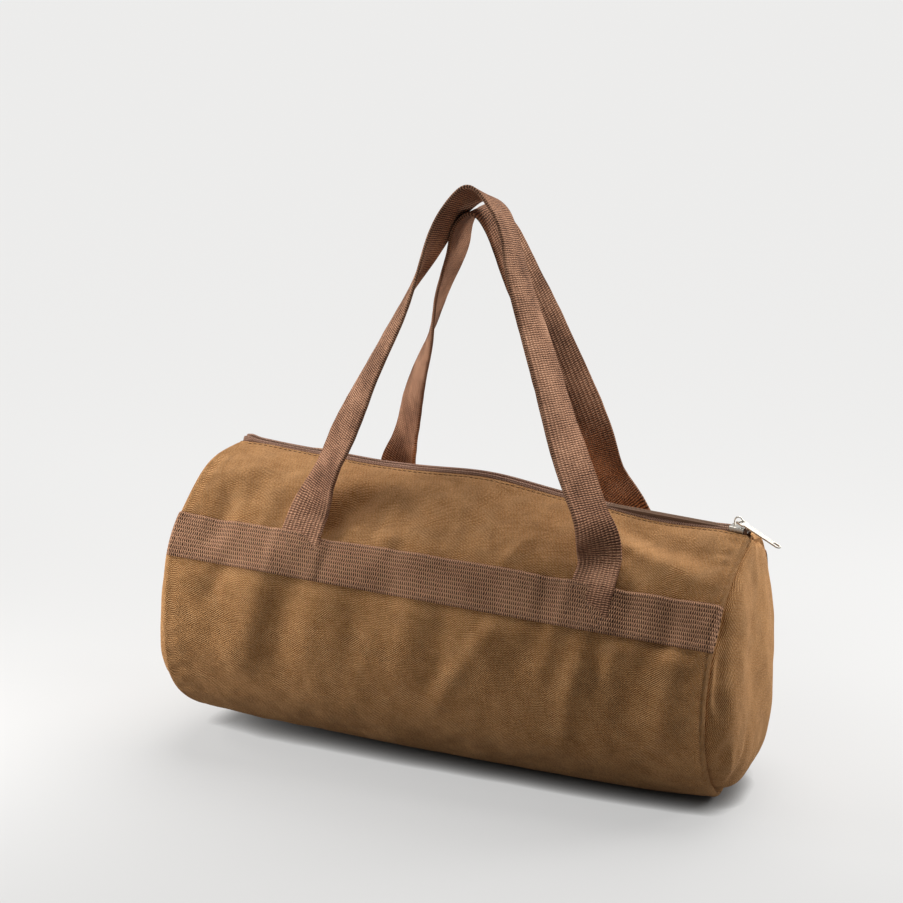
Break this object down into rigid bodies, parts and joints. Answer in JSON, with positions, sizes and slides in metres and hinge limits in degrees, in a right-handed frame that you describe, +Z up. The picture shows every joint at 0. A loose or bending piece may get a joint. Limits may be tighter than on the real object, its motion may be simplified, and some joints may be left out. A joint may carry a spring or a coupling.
{
  "type": "tool bag",
  "caption": "Barrel-shaped canvas tool bag with rounded end panels, a zip along the top, sewn webbing bands and webbing carrying handles.",
  "frame": {"origin": "middle of the flat on which the bag rests, under the middle of its length", "axes": "+Z up, +X along the bag towards the end where the closed slider stops, -Y the front"},
  "size_m": [0.4136, 0.1866, 0.3868],
  "materials": {
    "canvas": "matte woven",
    "binding": "matte woven",
    "webbing": "matte ribbed",
    "zip_tape": "matte woven",
    "zip_teeth": "satin",
    "nickel": "polished"
  },
  "bodies": {
    "bag": {"canvas_body": "canvas", "end_panel_left": "canvas", "end_panel_right": "canvas", "seam_binding_left": "binding", "seam_binding_right": "binding", "band_front": "webbing", "band_rear": "webbing", "handle_front_foot_left": "webbing", "handle_front_foot_right": "webbing", "handle_rear_foot_left": "webbing", "handle_rear_foot_right": "webbing", "zip_tape_front": "zip_tape", "zip_tape_rear": "zip_tape", "zip_teeth_front": "zip_teeth", "zip_teeth_rear": "zip_teeth", "zip_top_stop": "nickel", "zip_bottom_stop": "nickel"},
    "front_handle": {"handle_front": "webbing"},
    "rear_handle": {"handle_rear": "webbing"},
    "slider": {"slider_body": "nickel", "slider_bail": "nickel"},
    "pull": {"pull_tab": "nickel"}
  },
  "joints": [
    {"name": "front_handle_fold", "type": "hinge", "parent": "bag", "child": "front_handle", "pos_m": [0.00057, -0.05969, 0.15805], "axis": [0.9989, 0.0263, -0.0394], "range_deg": [0, 125]},
    {"name": "rear_handle_fold", "type": "hinge", "parent": "bag", "child": "rear_handle", "pos_m": [-0.00036, 0.0597, 0.15805], "axis": [-0.9987, 0.0283, 0.0425], "range_deg": [0, 130]},
    {"name": "slider_travel", "type": "slide", "parent": "bag", "child": "slider", "axis": [0.9988, 0, -0.0493], "range_m": [-0.335, 0]},
    {"name": "pull_swing", "type": "hinge", "parent": "slider", "child": "pull", "pos_m": [0.17691, 0, 0.18239], "axis": [-0.4378, -0.8988, 0.0216], "range_deg": [0, 190]}
  ]
}
